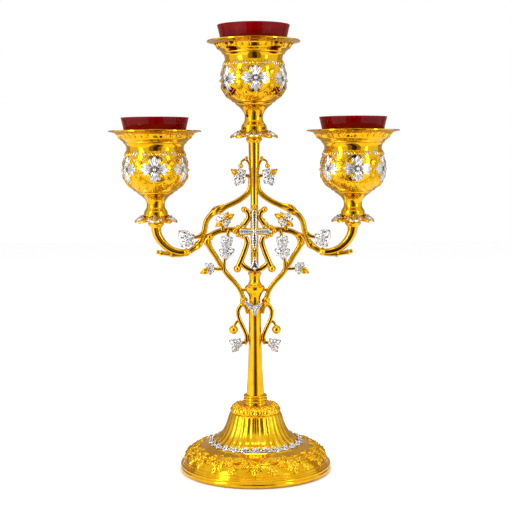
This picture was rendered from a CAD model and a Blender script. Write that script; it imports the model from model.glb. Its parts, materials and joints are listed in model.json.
# %% [markdown]
# A gilt votive stand for three vigil lights, dressed for the camera.
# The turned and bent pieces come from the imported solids, which already have their true sizes.
# Here they get their chased ornament: flutes, vine leaves, silver flowers and engraved bowls.
# Every height and radius below is read from those solids or written once, in millimetres.

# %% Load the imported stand
import json
from math import cos, exp, hypot, pi, radians, sin

import bmesh
import bpy
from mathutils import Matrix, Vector
from mathutils.bvhtree import BVHTree


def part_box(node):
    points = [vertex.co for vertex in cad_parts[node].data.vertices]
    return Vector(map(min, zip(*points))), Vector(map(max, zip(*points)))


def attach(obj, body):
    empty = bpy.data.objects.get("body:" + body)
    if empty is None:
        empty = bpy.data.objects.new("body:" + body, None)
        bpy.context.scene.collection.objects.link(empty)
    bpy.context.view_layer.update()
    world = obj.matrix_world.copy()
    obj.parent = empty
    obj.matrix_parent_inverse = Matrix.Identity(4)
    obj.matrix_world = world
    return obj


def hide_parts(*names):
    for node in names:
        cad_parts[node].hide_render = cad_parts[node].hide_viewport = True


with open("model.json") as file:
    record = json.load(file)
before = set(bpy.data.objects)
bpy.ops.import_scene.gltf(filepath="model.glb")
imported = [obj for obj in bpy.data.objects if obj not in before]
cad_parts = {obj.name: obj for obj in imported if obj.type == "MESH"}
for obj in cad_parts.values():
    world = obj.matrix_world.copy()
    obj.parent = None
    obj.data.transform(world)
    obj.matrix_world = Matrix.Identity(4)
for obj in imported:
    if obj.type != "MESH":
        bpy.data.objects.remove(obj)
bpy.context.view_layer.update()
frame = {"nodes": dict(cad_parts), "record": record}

MM = 0.001
FRONT = -pi / 2
BODY = "stand"
CROSS_Z = 242.0
SIDE_CUP_X = 98.5
nodes = frame["nodes"]

# %% [markdown]
# Gold plate over cast brass is a bright metal with faint unevenness from polishing.
# One way is a flat yellow with a shiny coat, but that looks like paint.
# A metal shader whose roughness and surface wander a little gives the broken highlights of real gilding.
# Chased areas are duller than the polished bands, so they get a rougher, more textured gold.


# %% A node tree helper
CLOUD_MM = 12
GRAIN_DEPTH = 0.1
NOISE_RANGE = (0.3, 0.7)
RECESS_RANGE = (0.44, 0.5)


def new_material(name):
    material = bpy.data.materials.new(name)
    material.use_nodes = True
    tree = material.node_tree
    return material, tree, tree.nodes["Principled BSDF"]


def add_node(tree, kind, links=(), **values):
    """Add a node; links are (output socket, this node's input name)."""
    node = tree.nodes.new(kind)
    for key, value in values.items():
        if hasattr(node, key):
            setattr(node, key, value)
        else:
            node.inputs[key.replace("_", " ")].default_value = value
    for output, name in links:
        tree.links.new(output, node.inputs[name])
    return node


def metal(name, deep, bright, smooth, rough, grain_mm, bump, recess=None):
    """Metal of two tints; smooth and rough are the range of its polish, recess a darker colour in hollows."""
    material, tree, shader = new_material(name)
    place = add_node(tree, "ShaderNodeTexCoord").outputs["Object"]
    cloud_scale, grain_scale = 1 / (CLOUD_MM * MM), 1 / (grain_mm * MM)
    cloud = add_node(tree, "ShaderNodeTexNoise", [(place, "Vector")], Scale=cloud_scale, Detail=3.0)
    grain = add_node(tree, "ShaderNodeTexNoise", [(place, "Vector")], Scale=grain_scale, Detail=4.0)
    tint = add_node(tree, "ShaderNodeValToRGB", [(cloud.outputs["Fac"], "Fac")])
    tint.color_ramp.elements[0].position, tint.color_ramp.elements[1].position = NOISE_RANGE
    tint.color_ramp.elements[0].color = (*deep, 1)
    tint.color_ramp.elements[1].color = (*bright, 1)
    polish = add_node(tree, "ShaderNodeMapRange", [(grain.outputs["Fac"], "Value")])
    polish.inputs["From Min"].default_value, polish.inputs["From Max"].default_value = NOISE_RANGE
    polish.inputs["To Min"].default_value, polish.inputs["To Max"].default_value = smooth, rough
    dents = add_node(tree, "ShaderNodeBump", [(grain.outputs["Fac"], "Height")],
                     Strength=bump, Distance=GRAIN_DEPTH * MM)
    colour = tint.outputs["Color"]
    if recess:
        hollow = add_node(tree, "ShaderNodeNewGeometry").outputs["Pointiness"]
        open_face = add_node(tree, "ShaderNodeMapRange", [(hollow, "Value")])
        dark_below, clear_above = RECESS_RANGE
        open_face.inputs["From Min"].default_value = dark_below
        open_face.inputs["From Max"].default_value = clear_above
        share = open_face.outputs["Result"]
        mixed = add_node(tree, "ShaderNodeMix", [(share, "Factor")], data_type="RGBA")
        tree.links.new(colour, mixed.inputs[7])
        mixed.inputs[6].default_value = (*recess, 1)
        colour = mixed.outputs[2]
    tree.links.new(colour, shader.inputs["Base Color"])
    tree.links.new(polish.outputs["Result"], shader.inputs["Roughness"])
    tree.links.new(dents.outputs["Normal"], shader.inputs["Normal"])
    shader.inputs["Metallic"].default_value = 1.0
    return material


# %% Gold, chased gold, silver and steel
GOLD = metal("polished_gold", (0.68, 0.345, 0.004), (0.84, 0.48, 0.012), 0.07, 0.15, 9.0, 0.1)
CHASED_GOLD = metal("chased_gold", (0.7, 0.36, 0.005), (0.92, 0.55, 0.022), 0.13, 0.24, 0.9, 0.25,
                    recess=(0.26, 0.1, 0.003))
SILVER = metal("silver", (0.5, 0.5, 0.52), (0.8, 0.81, 0.83), 0.09, 0.2, 1.2, 0.12,
               recess=(0.2, 0.19, 0.19))
STEEL = metal("steel", (0.35, 0.35, 0.36), (0.5, 0.5, 0.51), 0.25, 0.4, 1.5, 0.2)


# %% [markdown]
# The vigil glasses are pressed ruby glass, so deep in colour that little shows through them.
# A wholly clear shader would be almost black here, because each wall tints the light again.
# Half of the light is therefore scattered in the wall, which gives the glowing, nearly solid red.


# %% Ruby glass
GLASS_CLEARNESS = 0.5
GLASS_WAVE_MM = 16
GLASS_WAVE_DEPTH = 0.3


def ruby_glass():
    material, tree, shader = new_material("ruby_glass")
    place = add_node(tree, "ShaderNodeTexCoord").outputs["Object"]
    wave_scale = 1 / (GLASS_WAVE_MM * MM)
    waves = add_node(tree, "ShaderNodeTexNoise", [(place, "Vector")], Scale=wave_scale, Detail=1.0)
    dents = add_node(tree, "ShaderNodeBump", [(waves.outputs["Fac"], "Height")],
                     Strength=0.12, Distance=GLASS_WAVE_DEPTH * MM)
    tint = add_node(tree, "ShaderNodeValToRGB", [(waves.outputs["Fac"], "Fac")])
    tint.color_ramp.elements[0].color = (0.2, 0.0, 0.001, 1)
    tint.color_ramp.elements[1].color = (0.3, 0.0, 0.002, 1)
    tree.links.new(tint.outputs["Color"], shader.inputs["Base Color"])
    tree.links.new(dents.outputs["Normal"], shader.inputs["Normal"])
    shader.inputs["Roughness"].default_value = 0.03
    shader.inputs["IOR"].default_value = 1.12
    shader.inputs["Specular IOR Level"].default_value = 0.1
    shader.inputs["Coat Weight"].default_value = 0.2
    shader.inputs["Coat Roughness"].default_value = 0.06
    shader.inputs["Transmission Weight"].default_value = GLASS_CLEARNESS
    return material


RUBY = ruby_glass()

# %% Give every solid its finish
SLOT_FINISH = {"gold": GOLD, "silver": SILVER, "ruby_glass": RUBY, "steel": STEEL}
SLOTS = {part["node"]: part["material_slot"] for part in frame["record"]["subparts"]}
for node_name, solid in nodes.items():
    for material_slot in solid.material_slots:
        material_slot.link = "OBJECT"
        material_slot.material = SLOT_FINISH[SLOTS[node_name]]
print("finishes:", ", ".join(sorted(SLOT_FINISH)))

# %% [markdown]
# Cast ornament is a heap of small closed forms: lobes of leaves, beads and strands.
# Each could be sculpted, but the same few forms return all over the stand.
# So every form here is a stack of closed rings with a skin, and a map says where it lies.


# %% A heap of closed forms
class Heap:
    """Closed forms that become one piece."""

    def __init__(self):
        self.verts, self.faces = [], []

    def rings(self, rings, loop=False):
        """Skin a stack of closed rings, with a cap at each end unless the stack closes on itself."""
        start, count = len(self.verts), len(rings[0])
        self.verts += [point * MM for ring in rings for point in ring]
        for i in range(len(rings) - (not loop)):
            low, high = start + i * count, start + (i + 1) % len(rings) * count
            for j in range(count):
                k = (j + 1) % count
                self.faces.append((low + j, low + k, high + k, high + j))
        if not loop:
            last = start + (len(rings) - 1) * count
            self.faces += [tuple(range(start, start + count)), tuple(range(last, last + count))]

    def piece(self, name, material, slot, replaced=(), body=BODY):
        """Make the heap one smooth-shaded object that rides on a body."""
        mesh = bpy.data.meshes.new(name)
        mesh.from_pydata(self.verts, [], self.faces)
        shape = bmesh.new()
        shape.from_mesh(mesh)
        bmesh.ops.recalc_face_normals(shape, faces=shape.faces)
        shape.to_mesh(mesh)
        shape.free()
        mesh.shade_smooth()
        mesh.materials.append(material)
        made = bpy.data.objects.new(name, mesh)
        bpy.context.scene.collection.objects.link(made)
        if replaced:
            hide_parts(*replaced)
        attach(made, body)
        print(name, len(self.faces), "faces")
        return made


def bead(heap, centre, radius, flat=1.0, out=Vector((0, -1, 0)), rows=7, cols=12):
    """Round bead, pressed flatter along the way it faces."""
    side = out.cross(Vector((0, 0, 1))).normalized()
    up = side.cross(out)
    stack = []
    for i in range(rows):
        tilt = -pi / 2 + pi * (i + 0.3) / (rows - 0.4)
        ring = [side * cos(a) + up * sin(a) for a in (2 * pi * j / cols for j in range(cols))]
        stack.append([centre + (spoke * cos(tilt) + out * sin(tilt) * flat) * radius for spoke in ring])
    heap.rings(stack)


# %% [markdown]
# A turned surface can be unrolled like paper: one way round the axis, the other up its profile.
# Ornament is then drawn flat and laid on with that map, so it always sits on the metal.
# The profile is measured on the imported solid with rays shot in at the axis.


# %% Turned surfaces and how to lay things on them
class TurnedSkin:
    """Outside of a turned solid, from height low to high, in millimetres."""

    def __init__(self, node_name, low, high, x=0.0, steps=60):
        mesh = nodes[node_name].data
        tree = BVHTree.FromPolygons([v.co for v in mesh.vertices], [p.vertices for p in mesh.polygons])
        self.x, self.profile = x, []
        for i in range(steps + 1):
            z = low + (high - low) * i / steps
            hit = tree.ray_cast(Vector((x + 120, 0, z)) * MM, Vector((-1, 0, 0)))[0]
            if hit:
                self.profile.append((hit.x / MM - x, z))
        self.runs = [0.0]
        for (r0, z0), (r1, z1) in zip(self.profile, self.profile[1:]):
            self.runs.append(self.runs[-1] + hypot(r1 - r0, z1 - z0))
        self.length = self.runs[-1]

    def at(self, run):
        """Radius, height and outward slope at a distance up the profile."""
        run = min(max(run, 0.0), self.length)
        i = next((k for k, end in enumerate(self.runs[1:]) if run <= end), len(self.runs) - 2)
        (r0, z0), (r1, z1) = self.profile[i], self.profile[i + 1]
        span = max(self.runs[i + 1] - self.runs[i], 1e-6)
        share = (run - self.runs[i]) / span
        return r0 + (r1 - r0) * share, z0 + (z1 - z0) * share, (z1 - z0) / span, (r0 - r1) / span

    def run_at(self, height):
        """Distance up the profile at which it reaches a height."""
        for (_, z), run in zip(self.profile, self.runs):
            if z >= height:
                return run
        return self.length

    def point(self, angle, run, lift):
        """Point round the axis at an angle, up the profile, lifted off the surface."""
        r, z, out, up = self.at(run)
        past = run - min(max(run, 0.0), self.length)
        r, z = r + out * lift - up * past, z + up * lift + out * past
        return Vector((self.x + r * cos(angle), r * sin(angle), z))

    def flat(self, angle, run):
        """Map for things drawn flat: x runs to the right, y up the profile, from a spot on the surface."""
        around = self.at(run)[0]
        return lambda u, v, lift: self.point(angle + u / around, run + v, lift)


def sleeve(heap, skin, low, high, rows, cols, relief, sink=0.4):
    """Closed skin round a turned surface; relief(angle, share of the way up) is its height."""
    outer, inner = [], []
    for i in range(rows + 1):
        share = i / rows
        run = low + (high - low) * share
        angles = [2 * pi * j / cols for j in range(cols)]
        outer.append([skin.point(a, run, relief(a, share)) for a in angles])
        inner.append([skin.point(a, run, -sink) for a in angles])
    heap.rings(outer + inner[::-1], loop=True)


def hoop(section, steps):
    """Rings of a hoop about the stand's axis; section is a closed list of (radius, height)."""
    turns = [2 * pi * i / steps for i in range(steps)]
    return [[Vector((r * cos(t), r * sin(t), z)) for r, z in section] for t in turns]


# %% [markdown]
# A cast leaf is a few pointed lobes that meet at the stalk, each with a raised rib and slanting veins.
# The outline could be cut from sheet, but the light then shows a paper leaf.
# A lobe made of cross-sections can swell in the middle, dip beside its rib and notch along its edge.

# %% One lobe of a leaf
LOBE_EDGE = 0.12


def lobe(heap, lay, base, tip, width, thick, veins=4, steps=16, across=12, sink=0.3, fullness=0.75):
    """Pointed lobe from base to tip; width is its half width and lay the map it lies on."""
    base, tip = Vector(base), Vector(tip)
    way = tip - base
    side = Vector((-way.y, way.x)).normalized()
    stack = []
    for i in range(steps + 1):
        t = i / steps
        notches = 1 + 0.13 * sin(2 * pi * veins * t)
        half = max(width * sin(pi * t ** fullness) ** 0.8 * notches, 0.04) if 0 < i < steps else 0.04
        front, back = [], []
        for j in range(across + 1):
            s = 2 * j / across - 1
            spot = base + way * t + side * (s * half)
            swell = (1 - abs(s) ** 3) * (0.45 + 0.55 * sin(pi * min(t + 0.12, 1)))
            rib = exp(-(s / 0.13) ** 2) - 0.7 * exp(-((abs(s) - 0.3) / 0.13) ** 2)
            vein = cos(2 * pi * (veins * t - 1.1 * abs(s)))
            height = thick * (LOBE_EDGE + swell * (0.6 + 0.4 * rib + 0.2 * vein))
            front.append(lay(spot.x, spot.y, height))
            back.append(lay(spot.x, spot.y, -sink * (1 - s * s) - 0.05))
        stack.append(front + back[::-1])
    heap.rings(stack)


def bent_strand(heap, lay, points, radius, sides=8):
    """Thin round strand along flat points of a map, tapering a little to its ends."""
    line = smooth_line([Vector(p) for p in points], 6)
    stack = []
    for i, spot in enumerate(line):
        before, after = line[max(i - 1, 0)], line[min(i + 1, len(line) - 1)]
        side = Vector((-(after - before).y, (after - before).x)).normalized()
        thin = radius * (0.45 + 0.55 * sin(pi * (i + 0.5) / len(line)))
        ring = []
        for k in range(sides):
            a = 2 * pi * k / sides
            edge = spot + side * (cos(a) * thin)
            ring.append(lay(edge.x, edge.y, sin(a) * thin))
        stack.append(ring)
    heap.rings(stack)


def smooth_line(points, steps):
    """Curve through points, each span divided into steps."""
    line = []
    ends = [points[0] * 2 - points[1]] + points + [points[-1] * 2 - points[-2]]
    for p0, p1, p2, p3 in zip(ends, ends[1:], ends[2:], ends[3:]):
        for i in range(steps):
            t = i / steps
            bend = (p0 * 2 - p1 * 5 + p2 * 4 - p3) * t * t + (p1 * 3 - p0 - p2 * 3 + p3) * t ** 3
            line.append((p1 * 2 + (p2 - p0) * t + bend) * 0.5)
    return line + [points[-1]]


# %% [markdown]
# The bell of the base is fluted: broad raised ribs with a thin ridge in each valley.
# The flutes widen as the bell spreads, which a pattern round the angle does by itself.

# %% Fluted bell
FLUTES = 34
FLUTE_HEIGHT = 1.5
bell = TurnedSkin("base_bell", 28.8, 58.2)


def flute(angle, share):
    turn = (angle - FRONT) * FLUTES / (2 * pi)
    place = turn - int(turn) if turn >= 0 else turn - int(turn) + 1
    broad = abs(sin(pi * place)) ** 0.7
    thin = 0.45 * exp(-((min(place, 1 - place)) / 0.07) ** 2)
    ends = min(1.0, share / 0.08)
    return 0.12 + FLUTE_HEIGHT * (broad * 0.85 + thin) * ends * (0.55 + 0.45 * (1 - share))


fluted = Heap()
sleeve(fluted, bell, 0.0, bell.length, 40, FLUTES * 18, flute)
fluted.piece("bell_flutes", CHASED_GOLD, "gold")

# %% [markdown]
# Over the bell's top hangs a collar of overlapping acanthus leaves with a scalloped hem.
# Long leaves alternate with short ones behind, and their tips turn down over the flutes.

# %% Acanthus collar
COLLAR_LEAVES = 12
collar = TurnedSkin("base_leaf_collar", 58.6, 67.3)
hem = Heap()
for i in range(COLLAR_LEAVES):
    angle = FRONT + 2 * pi * i / COLLAR_LEAVES
    lay = collar.flat(angle, collar.length * 0.5)
    half = pi / COLLAR_LEAVES
    behind = collar.flat(angle + half, collar.length * 0.5)
    lobe(hem, behind, (0, 4.6), (0, -7.8), 4.2, 1.2, veins=3, fullness=1.3)
    lobe(hem, lay, (0, 5.0), (0, -8.8), 5.2, 1.8, veins=3, fullness=1.25)
    for side in (-1, 1):
        lobe(hem, lay, (side * 0.6, 4.0), (side * 5.2, -5.8), 2.2, 1.6, veins=2, fullness=1.2)
hem.piece("collar_leaves", CHASED_GOLD, "gold")

# %% [markdown]
# A silver garland lies round the foot of the bell: small flowers with a bead between each two.
# Each flower leans out, so that it faces someone who stands in front of the stand.

# %% Silver garland
GARLAND_R = 45.2
GARLAND_FLOWERS = 26
foot_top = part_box("base_foot")[1][2] / MM


def face_map(centre, out):
    """Map of a flat face at a centre, facing out."""
    side = Vector((0, 0, 1)).cross(out).normalized()
    up = out.cross(side)
    return lambda u, v, lift: centre + side * u + up * v + out * lift


garland = Heap()
eighths = [2 * pi * k / 8 for k in range(8)]
band = [(GARLAND_R + 1.2 * cos(a), foot_top + 0.7 + 0.8 * sin(a)) for a in eighths]
garland.rings(hoop(band, 120), loop=True)
for i in range(GARLAND_FLOWERS):
    angle = FRONT + 2 * pi * i / GARLAND_FLOWERS
    out = Vector((cos(angle) * 0.78, sin(angle) * 0.78, 0.62))
    centre = Vector((GARLAND_R * cos(angle), GARLAND_R * sin(angle), foot_top + 2.0))
    lay = face_map(centre, out)
    for k in range(6):
        turn = 2 * pi * k / 6 + pi / 6
        base, tip = (0.5 * cos(turn), 0.5 * sin(turn)), (4.2 * cos(turn), 3.9 * sin(turn))
        lobe(garland, lay, base, tip, 1.35, 1.3, veins=1, steps=8, across=8, sink=0.8, fullness=1.4)
    bead(garland, centre + out * 1.2, 1.2, out=out, rows=5, cols=10)
    between = angle + pi / GARLAND_FLOWERS
    spot = Vector((GARLAND_R * cos(between), GARLAND_R * sin(between), foot_top + 1.8))
    bead(garland, spot, 1.35, rows=6, cols=10)
garland.piece("silver_garland", SILVER, "silver", ["base_bead_ring"])

# %% [markdown]
# The wide dome of the foot carries a grapevine in high relief: a wavy stem that runs all the way round,
# a large leaf in every bay, small leaves and tendrils between, and bunches of grapes.
# The bays repeat, so one bay is drawn flat and laid round the dome, each a little different.

# %% Vine on the foot
FOOT_BAYS = 11
VINE_RUN = 0.4
VINE_SCALE = 1.2
VINE_RELIEF = 0.85
dome = TurnedSkin("base_foot", 8.6, 26.6)
# Each lobe's turn from the leaf's own way, its length and its half width, as shares of the leaf's size
GRAPE_LOBES = [(0, 1.0, 0.36), (0.95, 0.86, 0.31), (-0.95, 0.86, 0.31), (1.95, 0.6, 0.26), (-1.95, 0.6, 0.26)]
vine = Heap()
bay_mm = 2 * pi * dome.at(dome.length * 0.5)[0] / FOOT_BAYS


def drawn_out(flat):
    """The same map, drawn out up the dome and pressed closer to it."""
    return lambda u, v, lift: flat(u, v * VINE_SCALE, lift * VINE_RELIEF)


def grape_leaf(heap, lay, centre, size, turn, thick):
    """Five-lobed leaf; turn 0 points it down the map."""
    for spread, reach, width in GRAPE_LOBES:
        way = turn + spread
        tip = (centre[0] + size * reach * sin(way), centre[1] - size * reach * cos(way))
        lobe(heap, lay, centre, tip, size * width, thick, veins=3, steps=12, across=10, sink=0.5)


for i in range(FOOT_BAYS):
    lay = drawn_out(dome.flat(FRONT + 2 * pi * i / FOOT_BAYS, dome.length * VINE_RUN))
    lean = 0.35 * sin(2.4 * i)
    wave = [(bay_mm * (k / 8 - 0.5), 4.6 + 2.6 * sin(2 * pi * k / 8)) for k in range(9)]
    bent_strand(vine, lay, wave, 1.3)
    grape_leaf(vine, lay, (-0.5, 1.6), 11.4, lean, 2.9)
    grape_leaf(vine, lay, (9.6, 5.0), 7.8, 0.9 + lean, 2.5)
    grape_leaf(vine, lay, (-9.8, 6.0), 7.4, -0.8 + lean, 2.4)
    grape_leaf(vine, lay, (15.2, -1.6), 7.2, 0.2 - lean, 2.3)
    bent_strand(vine, lay, [(4, 6), (6.5, 9), (9.5, 9.2), (10.2, 7), (8.6, 6)], 0.8)
    bent_strand(vine, lay, [(-4, 6.5), (-6, 9.6), (-3.2, 10.8), (-1.6, 9)], 0.8)
    for k in range(6):
        row, step = divmod(k, 3)
        u, v = -14.6 + 1.9 * step + 0.95 * row, 1.2 - 1.7 * row
        bead(vine, lay(u, v, 0.7), 1.45, rows=5, cols=8)
vine.piece("foot_vine", CHASED_GOLD, "gold")

# %% [markdown]
# Below the vine, turned rings step down to the rolled rim. A ring is a low sleeve with a round back.

# %% Rings above the rim
# Distances up the profile at which a ring starts and ends, and its height
RIM_RINGS = [(2.2, 4.8, 1.2), (6.0, 6.9, 0.5), (8.4, 9.8, 0.8)]


def round_back(rise):
    """Relief of a ring that is highest at the middle of its width."""
    return lambda angle, share: rise * sin(pi * share)


rim_ring = Heap()
rim_skin = TurnedSkin("base_foot", 3.4, 12.0)
for ring_low, ring_high, rise in RIM_RINGS:
    sleeve(rim_ring, rim_skin, ring_low, ring_high, 8, 180, round_back(rise))
rim_ring.piece("foot_rim_rings", GOLD, "gold")

# %% [markdown]
# The knop and the neck over the collar are turned, with rounded rings where the lathe left a ledge.
# Each ring is a round bead bent about the stem's axis, set half into the solid:
# the list has its piece, its share of that piece's height, its radius and its thickness.

# %% Rings of the knop and the neck
TURNED_RINGS = [("knop", 0.24, 4.6, 0.9), ("knop", 0.44, 4.8, 2.9), ("knop", 0.58, 8.0, 1.6),
                ("knop", 0.68, 5.6, 1.1), ("knop", 0.96, 5.6, 1.2),
                ("base_neck_ring", 0.25, 11.4, 1.0), ("base_neck_ring", 0.85, 10.9, 1.2)]
twelfths = [2 * pi * k / 12 for k in range(12)]
turned_rings = Heap()
for node_name, share, around, section in TURNED_RINGS:
    ring_bottom, ring_top = [corner[2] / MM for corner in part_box(node_name)]
    height = ring_bottom + (ring_top - ring_bottom) * share
    ring_points = [(around + section * cos(a), height + section * sin(a)) for a in twelfths]
    turned_rings.rings(hoop(ring_points, 72), loop=True)
turned_rings.piece("turned_rings", GOLD, "gold")

# %% [markdown]
# Three bowls hold the glasses. Each belly is chased all round: six silver flowers in oval frames,
# gold leaf sprays between them, and a wreath of short strokes under the polished neck.
# The flowers are turned a little to the right of the middle, as they are in the photograph.
# The bowls are alike, so one function dresses each round its own axis.

# %% Flowers and sprays on a bowl
BOWL_FLOWERS = 6
BELLY_SHARE = 0.365
FLOWER_TURN = 0.065
FOOT_LEAF_DROP = 17.5
FLARE_BELOW_EDGE = 9.0


def silver_flower(heap, lay):
    """Four fan-shaped petals, of three lobes each, round a boss."""
    for quarter in range(4):
        way = quarter * pi / 2
        for spread, reach, thick in ((0.42, 13.0, 1.1), (-0.42, 13.0, 1.1), (0, 14.6, 1.4)):
            turn = way + spread
            base, tip = (1.2 * cos(turn), 1.2 * sin(turn)), (reach * cos(turn), reach * 0.92 * sin(turn))
            lobe(heap, lay, base, tip, 2.7, thick, veins=1, steps=14, across=12, fullness=1.6)
    bead(heap, lay(0, 0, 0.9), 2.0, rows=6, cols=12)


def oval(radius_u, radius_v, low, high, steps=14):
    """Points on an oval from one angle to another."""
    turns = [low + (high - low) * k / steps for k in range(steps + 1)]
    return [(radius_u * cos(a), radius_v * sin(a)) for a in turns]


def stroke(heap, lay, base, tip, width=1.15, thick=0.85, veins=1, steps=8):
    """One cut of the chasing tool: a small narrow lobe."""
    lobe(heap, lay, base, tip, width, thick, veins=veins, steps=steps, across=6)


def flower_frame(silver, gold, lay):
    """Oval lines round a flower, with a wreath of strokes over it."""
    bent_strand(silver, lay, oval(14.6, 14.2, 0.15 * pi, 0.85 * pi), 0.45)
    bent_strand(gold, lay, oval(14.6, 14.6, 0.9 * pi, 2.1 * pi), 0.45)
    bent_strand(gold, lay, oval(16.2, 16.0, -0.1 * pi, 1.1 * pi), 0.35)
    for k in range(8):
        u = -12.5 + 25 * k / 7
        lean = 1.6 if u > 0 else -1.6
        stroke(silver if k in (0, 1, 6, 7) else gold, lay, (u, 13.4), (u + lean, 18.2), thick=0.9)


def sprays(gold, lay):
    """Three strokes in each corner that a flower's petals leave."""
    for side in (-1, 1):
        for spread in (0.55, 0.8, 1.05):
            turn = pi / 2 - side * spread
            base = (side * 5.2 * cos(pi / 4), 5.2 * sin(pi / 4))
            stroke(gold, lay, base, (12.5 * cos(turn), 12.5 * sin(turn)))
            stroke(gold, lay, (base[0], -base[1]), (12.5 * cos(turn), -12.5 * sin(turn)))


def leaf_fans(gold, lay):
    """Fan of five small leaves upwards and one downwards, with a berry between them."""
    for k in range(5):
        fan = (k - 2) * 0.42
        stroke(gold, lay, (0, 3.0), (6.5 * sin(fan), 3.0 + 8.5 * cos(fan)), 1.25, 1.0, 2, 9)
        stroke(gold, lay, (0, -5.0), (5.5 * sin(fan), -5.0 - 8.0 * cos(fan)), 1.25, 1.0, 2, 9)
    bead(gold, lay(0, -1, 0.3), 1.6, rows=5, cols=10)


def dress_bowl(name, node_name, x):
    """Silver flowers and gold chasing of one bowl, whose axis is at x."""
    low, high = [corner[2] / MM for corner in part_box(node_name)]
    skin = TurnedSkin(node_name, low + 0.4, high - 1.4, x, steps=90)
    belly = skin.run_at(low + (high - low) * BELLY_SHARE)
    silver, gold = Heap(), Heap()
    for i in range(BOWL_FLOWERS):
        angle = FRONT + FLOWER_TURN + 2 * pi * i / BOWL_FLOWERS
        lay = skin.flat(angle, belly)
        silver_flower(silver, lay)
        flower_frame(silver, gold, lay)
        sprays(gold, lay)
        leaf_fans(gold, skin.flat(angle + pi / BOWL_FLOWERS, belly))
        for k in range(3):
            foot_leaf = skin.flat(angle + 2 * pi * (k / 3) / BOWL_FLOWERS, belly - FOOT_LEAF_DROP)
            lobe(gold, foot_leaf, (0, 4.6), (0, -4.6), 2.7, 0.8, veins=2, steps=10, across=8)
        flare = skin.flat(angle + pi / BOWL_FLOWERS, skin.length - FLARE_BELOW_EDGE)
        for k in range(9):
            u = -14 + 28 * k / 8
            stroke(gold, flare, (u, -3.0), (u + (2.6 if k % 2 else -2.6), 3.4))
    for start, width, rise in ((skin.run_at(high - 13.6), 2.2, 0.55), (skin.run_at(low + 1.0), 1.6, 0.5)):
        sleeve(gold, skin, start, start + width, 6, 120, round_back(rise))
    silver.piece(f"{name}_bowl_flowers", SILVER, "silver")
    gold.piece(f"{name}_bowl_chasing", CHASED_GOLD, "gold")


CUPS = [("top", 0.0), ("left", -SIDE_CUP_X), ("right", SIDE_CUP_X)]
for cup_name, cup_x in CUPS:
    dress_bowl(cup_name, f"{cup_name}_cup", cup_x)

# %% [markdown]
# Under each bowl a small gilt pan of eight petals catches wax. The petals join in a drooping dish,
# and on every other one lies a silver leaf. Leaves and dish are two pieces, because they are two finishes.

# %% Petals of the drip pans
PETALS = 8
PAN_DROOP = 4.6
PAN_HUB = 7.0
PETAL_NOTCH = 0.76


def pan_map(centre, angle, reach, flat_z):
    """Map of a petal's upper face: u across it, v out from the pan's axis."""
    def lay(u, v, lift):
        fall = PAN_DROOP * max((v - PAN_HUB) / (reach - PAN_HUB), 0) ** 2.2
        turn = angle + u / v
        return Vector((centre + v * cos(turn), v * sin(turn), flat_z + 1.2 - fall + lift))
    return lay


def petal(heap, centre, angle, hub, reach, flat_z):
    """Drooping petal with a centre rib and fanned veins."""
    stack, steps, across = [], 16, 16
    for i in range(steps + 1):
        t = i / steps
        radius = hub + (reach - hub) * t
        sector = pi / PETALS * radius
        past_notch = max(0.0, (t - PETAL_NOTCH) / (1 - PETAL_NOTCH))
        half = max(sector * 1.02 * (1 - past_notch ** 1.6), 0.05)
        fall = PAN_DROOP * t ** 2.2
        front, back = [], []
        for j in range(across + 1):
            s = 2 * j / across - 1
            turn = angle + s * half / radius
            rib = 0.55 * exp(-(s / 0.12) ** 2) + 0.22 * cos(3 * pi * s * (0.6 + 0.4 * t))
            top = flat_z + 1.1 - fall + rib * min(1, 3 * t) * (1 - 0.5 * t) + 0.5 * t * (1 - s * s)
            out = radius - 0.6 * t * s * s
            front.append(Vector((centre + out * cos(turn), out * sin(turn), top)))
            back.append(Vector((centre + out * cos(turn), out * sin(turn), flat_z - fall - 0.1)))
        stack.append(front + back[::-1])
    heap.rings(stack)


for cup_name, cup_x in CUPS:
    pan_low, pan_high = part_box(f"{cup_name}_drip_pan")
    reach = (pan_high[0] - pan_low[0]) / 2 / MM
    flat_z = pan_high[2] / MM - 1.0
    silver, gold = Heap(), Heap()
    for i in range(PETALS):
        angle = FRONT + 2 * pi * i / PETALS
        petal(gold, cup_x, angle, PAN_HUB, reach, flat_z)
        if i % 2 == 0:
            lay = pan_map(cup_x, angle, reach, flat_z)
            base, tip = (0, PAN_HUB + 3), (0, reach - 0.2)
            lobe(silver, lay, base, tip, 6.6, 2.6, veins=4, across=16, fullness=1.6)
            for side in (-1, 1):
                base, tip = (side * 1.5, PAN_HUB + 4), (side * 7.4, reach - 3.4)
                lobe(silver, lay, base, tip, 3.0, 2.2, veins=3, fullness=1.6)
    silver.piece(f"{cup_name}_pan_leaves", SILVER, "silver")
    gold.piece(f"{cup_name}_petal_pan", GOLD, "gold", [f"{cup_name}_drip_pan"])

# %% [markdown]
# The arms are cast vines: round strands with a groove down the front and back, as if two stems
# had grown together, and bark that swells where a shoot leaves. A plain tube would look like wire.
# Their middle lines are the ones the solids were bent along, as (x, height from the cross) on the left.

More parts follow.
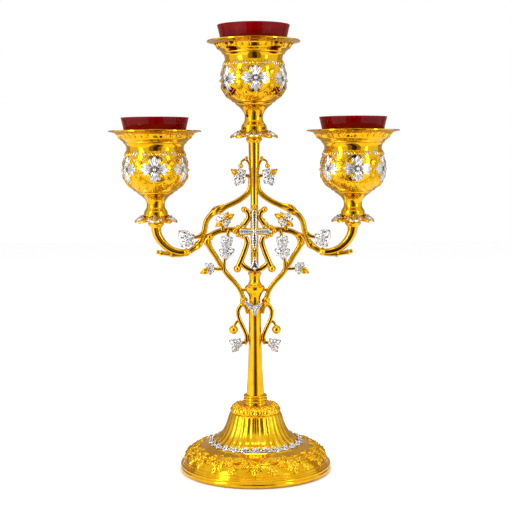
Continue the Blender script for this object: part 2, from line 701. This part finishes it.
# %% Lines of the vines
ARM_LINE = [(-3.2, 56), (-3.4, 46), (-5.8, 39), (-14, 31.9), (-24, 26.7), (-38.3, 20.6), (-47.4, 11.5),
            (-50.6, -1), (-55.5, -12.5), (-65.5, -20.3)]
ARM_END_LINE = [(-65.5, -20.3), (-74, -20.8), (-84, -18), (-92.2, -11.2), (-97.2, -3), (-98.5, 4.2)]
STUB_LINE = [(-66, -21.6), (-78, -23.4), (-90, -22), (-98.5, -20.2)]
HEART_LINE = [(-19, 2), (-27.4, 1.4), (-36.2, -0.1), (-43.3, -3.8), (-47, -9.6), (-44.4, -17),
              (-39, -25.3), (-33.2, -35), (-27.4, -43.6), (-20.6, -51), (-15.4, -58), (-12.4, -65.2),
              (-11.2, -70), (-8.7, -76.8), (-6.8, -83)]
TENDRIL_LINE = [(-3.9, 61), (-4.8, 66.5), (-8, 71.4), (-12.1, 70), (-13.3, 66)]
SCROLL_LINE = [(-10.6, -73.4), (-13.6, -74.6), (-16.6, -79.2), (-16.8, -85), (-14.8, -91.2),
               (-11.5, -98.2), (-8.8, -105.4), (-8.8, -110.6), (-10.5, -114.2)]
BERRY_STALK = [(-15.2, -90.4), (-19, -92.2), (-21, -96.2)]
KNOT_SPREAD = 0.028


# %% A grooved strand
def strand(heap, line, radius, end_radius=None, groove=0.34, knots=(), y=0.0, sides=24, mirrored=1):
    """Grooved strand along (x, height) points; knots are shares of the way where the bark swells."""
    spots = smooth_line([Vector((mirrored * x, y, CROSS_Z + z)) for x, z in line], 10)
    end_radius = end_radius or radius
    stack = []
    for i, spot in enumerate(spots):
        share = i / (len(spots) - 1)
        way = (spots[min(i + 1, len(spots) - 1)] - spots[max(i - 1, 0)]).normalized()
        side = way.cross(Vector((0, 1, 0))).normalized()
        swell = sum(exp(-((share - knot) / KNOT_SPREAD) ** 2) for knot in knots)
        size = radius + (end_radius - radius) * share
        ring = []
        for k in range(sides):
            a = 2 * pi * k / sides
            dip = groove * exp(-(cos(a) / 0.26) ** 2)
            bark = swell * (0.4 + 0.2 * sin(3 * a + 40 * share))
            ring.append(spot + (side * cos(a) + Vector((0, -sin(a), 0))) * size * (1 - dip + bark))
        stack.append(ring)
    heap.rings(stack)


# %% Leaf stalks, then the vines of both sides
STALK_Y = -2.0
STALKS = [[(-4.5, 55), (-8, 55.6), (-12, 55.2)], [(-52.4, -2), (-57, -5.2), (-66, -6.4)]]
HEART_STALKS = [[(-32, 1), (-31.5, 5), (-30, 9)], [(-25.2, 1.8), (-26.6, -2), (-27.6, -8)],
                [(-30, -41), (-30.6, -33), (-29.4, -24)], [(-33, -37.4), (-38, -37.6), (-44, -36.6)]]
SCROLL_STALKS = [[(-9, -111.5), (-12.6, -112.6), (-18, -112.6)]]

for side_name, mirrored in (("left", 1), ("right", -1)):
    arm, heart, scroll, tendril = Heap(), Heap(), Heap(), Heap()
    strand(arm, ARM_LINE, 2.75, knots=(0.52, 0.56, 0.9), mirrored=mirrored)
    strand(arm, ARM_END_LINE, 2.8, 5.0, knots=(0.06,), groove=0.2, mirrored=mirrored)
    strand(arm, STUB_LINE, 2.6, 2.0, knots=(0.45, 0.8), mirrored=mirrored)
    strand(heart, HEART_LINE, 2.8, 2.4, knots=(0.24, 0.3, 0.84, 0.87), mirrored=mirrored)
    strand(scroll, SCROLL_LINE, 2.2, knots=(0.08,), groove=0.14, mirrored=mirrored)
    strand(scroll, BERRY_STALK, 1.6, groove=0.1, mirrored=mirrored)
    strand(tendril, TENDRIL_LINE, 1.35, 1.0, groove=0.15, knots=(0.5,), mirrored=mirrored)
    bead(tendril, Vector((mirrored * -13.3, -0.4, CROSS_Z + 65.2)), 2.5)
    bead(tendril, Vector((mirrored * -7.6, 0, CROSS_Z + 73.2)), 1.7)
    for heap, stalks in ((arm, STALKS), (heart, HEART_STALKS), (scroll, SCROLL_STALKS)):
        for line in stalks:
            strand(heap, line, 1.9, 1.6, groove=0.16, y=STALK_Y, mirrored=mirrored)
    arm.piece(f"{side_name}_vine_arm", GOLD, "gold", [f"{side_name}_arm"])
    heart.piece(f"{side_name}_vine_heart", GOLD, "gold", [f"{side_name}_heart_branch"])
    scroll.piece(f"{side_name}_vine_scroll", GOLD, "gold", [f"{side_name}_lower_scroll"])
    tendril.piece(f"{side_name}_vine_tendril", GOLD, "gold", [f"{side_name}_tendril"])

# %% [markdown]
# The vine's leaves are silvered castings, some with gilt tips. A leaf is a list of its tips,
# as (x, height from the cross) on the left, each at a corner of the solid leaf's outline.
# A lobe runs from the leaf's heart to each tip, so the leaf keeps its outline and gains a modelled face.

# %% Silver leaves
LEAF_Y = -3.3
GILT_TIPS = {"upper_leaf": (2,), "inner_upper_leaf": (0, 3, 4), "outer_lower_leaf": (3,)}
LEAF_TIPS = {
    "upper_leaf": [(-8.2, 61), (-15, 63), (-23.4, 62.3), (-18.1, 45.4), (-10.1, 47.6)],
    "arm_leaf": [(-60, -2.8), (-67.2, 1.2), (-75.6, 1.2), (-73, -15.6), (-66, -15), (-61.2, -13)],
    "inner_upper_leaf": [(-39, 4.6), (-39, 12.2), (-34, 18), (-26, 19.8), (-19.7, 17.4), (-23.6, 8.8),
                         (-27, 4.6)],
    "inner_middle_leaf": [(-33, -4.8), (-34.2, -11), (-32.4, -15.4), (-28, -16.6), (-23, -14.4),
                          (-21.6, -10), (-22, -5.6), (-26, -3.4)],
    "inner_lower_leaf": [(-35.2, -23.4), (-35.6, -18), (-29.6, -18.6), (-19.8, -17.8), (-23.6, -24.2),
                         (-28.2, -28.8)],
    "outer_lower_leaf": [(-40.6, -33.2), (-43.3, -31), (-49.2, -31.2), (-54.8, -42.4), (-44, -43.6),
                         (-40.6, -40.4)],
    "bottom_leaf": [(-14.6, -107.6), (-20.5, -108), (-26.4, -109.8), (-22.8, -122.2), (-16.4, -119.6),
                    (-12.6, -115.4)],
}


def leaf_map(mirrored, y, middle, bow):
    """Map of a leaf's face, bowed towards the front at its middle."""
    def lay(u, v, lift):
        away = (Vector((u, v)) - middle).length
        return Vector((mirrored * u, y - lift - bow * (1 - (away / 10) ** 2), CROSS_Z + v))
    return lay


for side_name, mirrored in (("left", 1), ("right", -1)):
    for leaf, tips in LEAF_TIPS.items():
        middle = sum((Vector(tip) for tip in tips), Vector((0, 0))) / len(tips)
        lay = leaf_map(mirrored, LEAF_Y, middle, 0.8)
        silver, gilt = Heap(), Heap()
        for i, tip in enumerate(tips):
            tip = Vector(tip)
            reach = (tip - middle).length
            start = middle - (tip - middle) * 0.25
            heap = gilt if i in GILT_TIPS.get(leaf, ()) else silver
            share = 0.26 if heap is gilt else 0.46
            half = reach * share + 0.5
            lobe(heap, lay, start, tip, half, 2.4, veins=2, steps=18, across=16, sink=0.9, fullness=0.95)
        silver.piece(f"{side_name}_{leaf}_silver", SILVER, "silver", [f"{side_name}_{leaf}"])
        if gilt.faces:
            gilt.piece(f"{side_name}_{leaf}_gilt", GOLD, "gold")

# %% [markdown]
# A small three-lobed leaf covers the joint under the knop, where both vines reach the stem.

# %% Leaf over the vines' joint
trefoil = Heap()
trefoil_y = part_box("front_trefoil")[0][1] / MM
trefoil_map = leaf_map(1, trefoil_y + 0.8, Vector((0, -77)), 0.3)
TREFOIL_LOBES = [((1.5, -79), (-12.2, -69.2), 2.5), ((0, -74), (0, -85.4), 3.0),
                 ((-1.5, -79), (7.4, -71.6), 2.5)]
for base, tip, width in TREFOIL_LOBES:
    lobe(trefoil, trefoil_map, base, tip, width, 1.4, veins=3, sink=0.6)
trefoil.piece("silver_trefoil", SILVER, "silver", ["front_trefoil"])

# %% [markdown]
# The cross is a silver casting laid over a gilt fret. Its face rises to a ridge along each arm,
# and the arms flare and are textured with fine facets, so it glitters at any angle.

# %% Silver cross
CROSS_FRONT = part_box("silver_cross")[0][1] / MM + 2.0
cross_map = leaf_map(1, CROSS_FRONT - 0.4, Vector((0, 0)), 0.0)


# Outline across a bar's face: place across it, and height
BAR_SECTION = [(-1, 0.15), (-0.8, 0.75), (-0.4, 0.6), (0, 1.0), (0.4, 0.6), (0.8, 0.75), (1, 0.15)]


def ridged_bar(heap, lay, base, tip, start, end, thick, facets, pinch=1.0):
    """Straight bar with a ridge down its face; start and end are its half widths."""
    base, tip = Vector(base), Vector(tip)
    way = tip - base
    side = Vector((-way.y, way.x)).normalized()
    stack, steps = [], facets * 4
    for i in range(steps + 1):
        t = i / steps
        half = start + (end - start) * t ** pinch
        ring = []
        for s, height in BAR_SECTION:
            spot = base + way * t + side * (s * half)
            facet = 0.22 * cos(2 * pi * (facets * t - 0.5 * abs(s)))
            ring.append(lay(spot.x, spot.y, thick * (height + facet * (0.2 < abs(s) < 1))))
        for s in (1, -1):
            spot = base + way * t + side * (s * half)
            ring.append(lay(spot.x, spot.y, -0.9))
        stack.append(ring)
    heap.rings(stack)


# Each bar of the cross: its ends, its half width at both, and its facets
CROSS_BARS = [((0, 0), (14.6, 0), 1.5, 2.9, 6), ((0, 0), (-14.6, 0), 1.5, 2.9, 6),
              ((0, 0), (0, 18), 1.6, 2.6, 7), ((0, 18), (0, 23.6), 2.6, 0.2, 2),
              ((0, 0), (0, -10), 1.6, 2.7, 4), ((0, -10), (0, -20), 2.7, 0.2, 4)]
silver_cross = Heap()
for base, tip, start, end, facets in CROSS_BARS:
    ridged_bar(silver_cross, cross_map, base, tip, start, end, 1.6, facets)
bead(silver_cross, cross_map(0, 0, 1.2), 1.9, flat=0.8)
bead(silver_cross, cross_map(16.2, 0, 0.7), 1.6, flat=0.8)
silver_cross.piece("cross_relief", SILVER, "silver", ["silver_cross"])

cross_foot = Heap()
ridged_bar(cross_foot, cross_map, (0, -25.4), (0, -36.4), 1.3, 5.4, 1.5, 4, pinch=2.2)
lobe(cross_foot, cross_map, (0, -35), (0, -40.4), 1.8, 2.0, veins=1)
cross_foot.piece("cross_foot_relief", SILVER, "silver", ["cross_foot"])

# %% [markdown]
# The fret that carries the cross is cast gold: lyre-shaped struts with a raised ridge, round knobs
# at their ends, and lobed ends on the arm bar where the vines start.

# %% Gilt fret
FRET_Y = -3.2
FRET_UPPER = [(-10.1, 21.9), (-6.6, 19.2), (-5.6, 14), (-8.4, 9), (-11.5, 5)]
FRET_LOWER = [(-9.2, -5), (-7.4, -11), (-10.2, -20.6), (-14.4, -31), (-17.3, -37.4)]
FRET_FOOT = [(-13.6, -31), (-10.4, -35), (-5.4, -38), (0, -38.9)]
FRET_KNOBS = [(-10.1, 21.9, 2.7), (-11.5, 7.2, 2.2), (-16.4, 4.2, 2.2), (-16.4, -3.4, 2.2),
              (-12.2, -5, 2.1), (-17.3, -37.4, 3.4), (-8.9, 11.4, 1.7), (-13.2, 5.6, 1.6),
              (-19.6, 0.4, 2.5), (-9.2, -36.4, 1.8)]
KNOB_SWELL = 1.14
fret = Heap()
fret_map = leaf_map(1, FRET_Y, Vector((0, 0)), 0.0)
for mirrored in (1, -1):
    strand(fret, FRET_UPPER, 2.6, knots=(0.95,), y=FRET_Y, mirrored=mirrored, groove=0.12)
    strand(fret, FRET_LOWER, 2.5, 2.9, y=FRET_Y, mirrored=mirrored, groove=0.12)
    strand(fret, FRET_FOOT, 2.6, y=FRET_Y, mirrored=mirrored, groove=0.12)
    for x, z, radius in FRET_KNOBS:
        knob = Vector((mirrored * x, FRET_Y, CROSS_Z + z))
        bead(fret, knob, radius * KNOB_SWELL, rows=9, cols=16)
    ridged_bar(fret, fret_map, (0, 0), (mirrored * 18.6, 0), 3.4, 3.8, 1.7, 5)
ridged_bar(fret, fret_map, (0, -21), (0, 24.4), 3.4, 3.2, 1.7, 9)
bead(fret, Vector((0, FRET_Y, CROSS_Z + 24.6)), 2.6, rows=9, cols=16)
bead(fret, Vector((0, FRET_Y, CROSS_Z - 38.9)), 2.4, rows=9, cols=16)
fret.piece("fret_relief", GOLD, "gold", ["cross_fret"])

# %% [markdown]
# A white studio: a pale floor, broad soft lamps, and screens and floor strips that only reflections show.
# Polished metal shows only what is around it, so without dark screens gold in a white room looks flat.
# The studio's own sizes are in metres.

# %% Floor and dark screens
FLOOR_SIZE = 6.0


def plain_material(name, colour, roughness):
    material, tree, shader = new_material(name)
    shader.inputs["Base Color"].default_value = (*colour, 1)
    shader.inputs["Roughness"].default_value = roughness
    shader.inputs["Specular IOR Level"].default_value = 0.1
    return material


def panel(name, corners, material):
    mesh = bpy.data.meshes.new(name)
    mesh.from_pydata(corners, [], [(0, 1, 2, 3)])
    mesh.materials.append(material)
    made = bpy.data.objects.new(name, mesh)
    bpy.context.scene.collection.objects.link(made)
    return made


half = FLOOR_SIZE / 2
floor = panel("floor", [(-half, -half, 0), (half, -half, 0), (half, half, 0), (-half, half, 0)],
              plain_material("floor_white", (0.97, 0.97, 0.97), 0.8))
DARK = plain_material("screen_dark", (0.035, 0.016, 0.006), 1.0)
BROWN = plain_material("screen_brown", (0.26, 0.2, 0.13), 1.0)
GREY = plain_material("screen_grey", (0.36, 0.3, 0.24), 1.0)
# Each screen's two ends on the floor, its lower and upper edge, and its cloth
SCREENS = [((-0.16, -1.68), (0.42, -1.68), 0.0, 1.3, DARK), ((-0.72, -1.7), (0.95, -1.7), 0.0, 1.3, BROWN),
           ((-1.3, 0.5), (-0.9, 1.1), 0.0, 1.2, GREY), ((0.9, 1.1), (1.3, 0.5), 0.0, 1.2, GREY),
           ((-0.9, 1.1), (0.9, 1.1), 0.0, 1.2, GREY)]
FLOOR_STRIP = [(-0.03, -0.2, 0.002), (0.05, -0.2, 0.002), (0.42, -1.68, 0.002), (-0.16, -1.68, 0.002)]
FLOOR_FAN = [(-0.09, -0.2, 0.001), (0.12, -0.2, 0.001), (0.95, -1.68, 0.001), (-0.72, -1.68, 0.001)]
FLOOR_BEHIND = [(-0.9, 1.1, 0.001), (-0.2, 0.2, 0.001), (0.2, 0.2, 0.001), (0.9, 1.1, 0.001)]
screens = [panel("floor_strip", FLOOR_STRIP, DARK), panel("floor_fan", FLOOR_FAN, BROWN),
           panel("floor_behind", FLOOR_BEHIND, GREY)]
for i, ((x0, y0), (x1, y1), low, high, cloth) in enumerate(SCREENS):
    outline = [(x0, y0, low), (x1, y1, low), (x1, y1, high), (x0, y0, high)]
    screens.append(panel(f"screen_{i}", outline, cloth))
for screen in screens:
    screen.visible_camera = False
    screen.visible_shadow = False
    screen.visible_diffuse = False
    screen.visible_transmission = False


# %% Lamps and sky
def area_lamp(name, place, width, height, watts):
    lamp = bpy.data.lights.new(name, "AREA")
    lamp.shape, lamp.size, lamp.size_y, lamp.energy = "RECTANGLE", width, height, watts
    made = bpy.data.objects.new(name, lamp)
    made.location = place
    made.rotation_euler = (Vector((0, 0, 0.24)) - Vector(place)).to_track_quat("-Z", "Y").to_euler()
    bpy.context.scene.collection.objects.link(made)


area_lamp("key_lamp", (-1.25, -0.85, 0.7), 0.34, 1.1, 9.0)
area_lamp("fill_lamp", (1.25, -0.95, 0.6), 0.2, 0.9, 4.0)
area_lamp("top_lamp", (0.0, -0.3, 1.7), 0.9, 0.5, 5.0)
area_lamp("back_lamp", (0.4, 1.4, 1.1), 0.7, 0.5, 6.0)

world = bpy.data.worlds.new("studio")
bpy.context.scene.world = world
world.use_nodes = True
tree = world.node_tree
tree.nodes.clear()
path = tree.nodes.new("ShaderNodeLightPath").outputs
seen = add_node(tree, "ShaderNodeMath", operation="ADD")
tree.links.new(path["Is Camera Ray"], seen.inputs[0])
tree.links.new(path["Is Glossy Ray"], seen.inputs[1])
clear = add_node(tree, "ShaderNodeMath", operation="ADD", use_clamp=True)
tree.links.new(seen.outputs[0], clear.inputs[0])
tree.links.new(path["Is Transmission Ray"], clear.inputs[1])
fill = add_node(tree, "ShaderNodeBackground", Color=(1, 1, 1, 1), Strength=1.0)
shown = add_node(tree, "ShaderNodeBackground", Color=(1, 1, 1, 1), Strength=1.0)
mix = tree.nodes.new("ShaderNodeMixShader")
tree.links.new(clear.outputs[0], mix.inputs[0])
tree.links.new(fill.outputs[0], mix.inputs[1])
tree.links.new(shown.outputs[0], mix.inputs[2])
tree.links.new(mix.outputs[0], tree.nodes.new("ShaderNodeOutputWorld").inputs["Surface"])
bpy.context.scene.view_settings.view_transform = "Standard"

# %% [markdown]
# The photograph was taken from straight ahead, a little above the cross, with a long lens.
# The lens is long enough to make the picture 512 mm wide where the stand is.

# %% Camera
SENSOR_MM = 36.0
FRAME_WIDTH = 512
CAMERA_X = 1.9
CAMERA_DISTANCE = 1120.0
CAMERA_HEIGHT = 316.8
CAMERA_PITCH = 5.09
CAMERA_ROLL = 0.29
lens = bpy.data.cameras.new("camera")
lens.sensor_width, lens.lens = SENSOR_MM, SENSOR_MM * CAMERA_DISTANCE / FRAME_WIDTH
camera = bpy.data.objects.new("camera", lens)
camera.location = Vector((CAMERA_X, -CAMERA_DISTANCE, CAMERA_HEIGHT)) * MM
camera.rotation_euler = (radians(90 - CAMERA_PITCH), radians(CAMERA_ROLL), 0)
bpy.context.scene.collection.objects.link(camera)
bpy.context.scene.camera = camera
